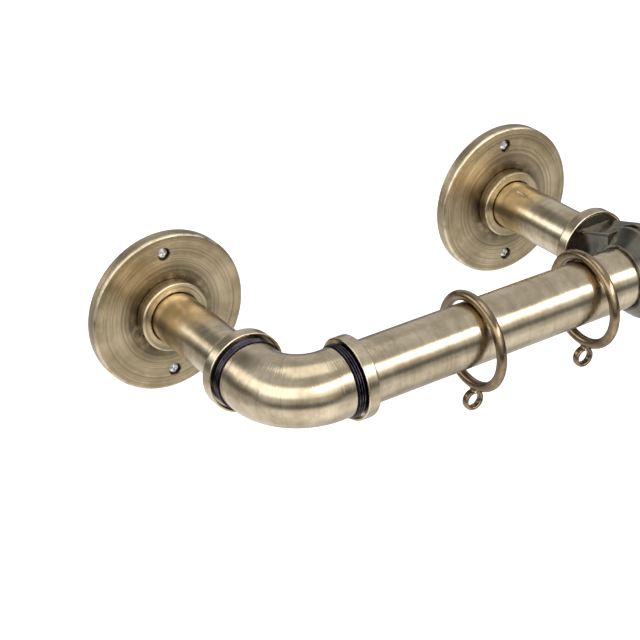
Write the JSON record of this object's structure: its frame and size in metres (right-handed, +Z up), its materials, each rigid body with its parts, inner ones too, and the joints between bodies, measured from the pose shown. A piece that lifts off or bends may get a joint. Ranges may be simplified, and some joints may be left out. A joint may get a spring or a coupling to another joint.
{
  "type": "curtain rod",
  "caption": "Industrial pipe-style curtain rod in antique brass, with elbow ends, a centre bracket on round wall plates, and sliding curtain rings with eyelets.",
  "frame": {"origin": "centre of the back face of the centre bracket's wall plate", "axes": "+X along the pole, +Y into the wall, +Z up"},
  "size_m": [0.451, 0.1364, 0.0758],
  "materials": {
    "antique_brass": "brushed antique brass, lacquered",
    "ring_bronze": "dark brushed bronze",
    "black_nickel": "polished black nickel plate",
    "gunmetal": "gunmetal plate, satin",
    "bright_zinc": "bright zinc plate",
    "black_steel": "black oxide",
    "plain_steel": "turned, unplated"
  },
  "bodies": {
    "rod": {"left_wall_plate": "antique_brass", "left_upper_wall_screw": "bright_zinc", "left_lower_wall_screw": "bright_zinc", "left_cover_ring": "antique_brass", "left_cover_ring_grub_screw": "black_steel", "left_stem_tube": "antique_brass", "left_stem_plug": "plain_steel", "left_stem_stud": "plain_steel", "left_stem_collar": "antique_brass", "left_stem_collar_grub_screw": "black_steel", "centre_wall_plate": "antique_brass", "centre_upper_wall_screw": "bright_zinc", "centre_lower_wall_screw": "bright_zinc", "centre_cover_ring": "antique_brass", "centre_cover_ring_grub_screw": "black_steel", "centre_stem_tube": "antique_brass", "centre_stem_plug": "plain_steel", "centre_stem_stud": "plain_steel", "centre_stem_collar": "antique_brass", "centre_stem_collar_grub_screw": "black_steel", "right_wall_plate": "antique_brass", "right_upper_wall_screw": "bright_zinc", "right_lower_wall_screw": "bright_zinc", "right_cover_ring": "antique_brass", "right_cover_ring_grub_screw": "black_steel", "right_stem_tube": "antique_brass", "right_stem_plug": "plain_steel", "right_stem_stud": "plain_steel", "right_stem_collar": "antique_brass", "right_stem_collar_grub_screw": "black_steel", "left_stem_band": "black_nickel", "left_stem_spigot": "plain_steel", "left_elbow": "antique_brass", "left_pole_collar": "antique_brass", "left_pole_collar_grub_screw": "black_steel", "left_pole_band": "black_nickel", "left_pole_spigot": "plain_steel", "right_stem_band": "black_nickel", "right_stem_spigot": "plain_steel", "right_elbow": "antique_brass", "right_pole_collar": "antique_brass", "right_pole_collar_grub_screw": "black_steel", "right_pole_band": "black_nickel", "right_pole_spigot": "plain_steel", "centre_pole_holder": "gunmetal", "centre_pole_holder_grub_screw": "black_steel", "pole": "antique_brass"},
    "ring_1": {"curtain_ring_1": "ring_bronze", "ring_eyelet_1": "ring_bronze"},
    "ring_2": {"curtain_ring_2": "ring_bronze", "ring_eyelet_2": "ring_bronze"},
    "ring_3": {"curtain_ring_3": "ring_bronze", "ring_eyelet_3": "ring_bronze"},
    "ring_4": {"curtain_ring_4": "ring_bronze", "ring_eyelet_4": "ring_bronze"}
  },
  "joints": [
    {"name": "ring_1_slide", "type": "slide", "parent": "rod", "child": "ring_1", "axis": [1, 0, 0], "range_m": [-0.056, 0.0255]},
    {"name": "ring_2_slide", "type": "slide", "parent": "rod", "child": "ring_2", "axis": [1, 0, 0], "range_m": [-0.0255, 0.0175]},
    {"name": "ring_3_slide", "type": "slide", "parent": "rod", "child": "ring_3", "axis": [1, 0, 0], "range_m": [-0.0175, 0.0255]},
    {"name": "ring_4_slide", "type": "slide", "parent": "rod", "child": "ring_4", "axis": [1, 0, 0], "range_m": [-0.0255, 0.056]}
  ]
}
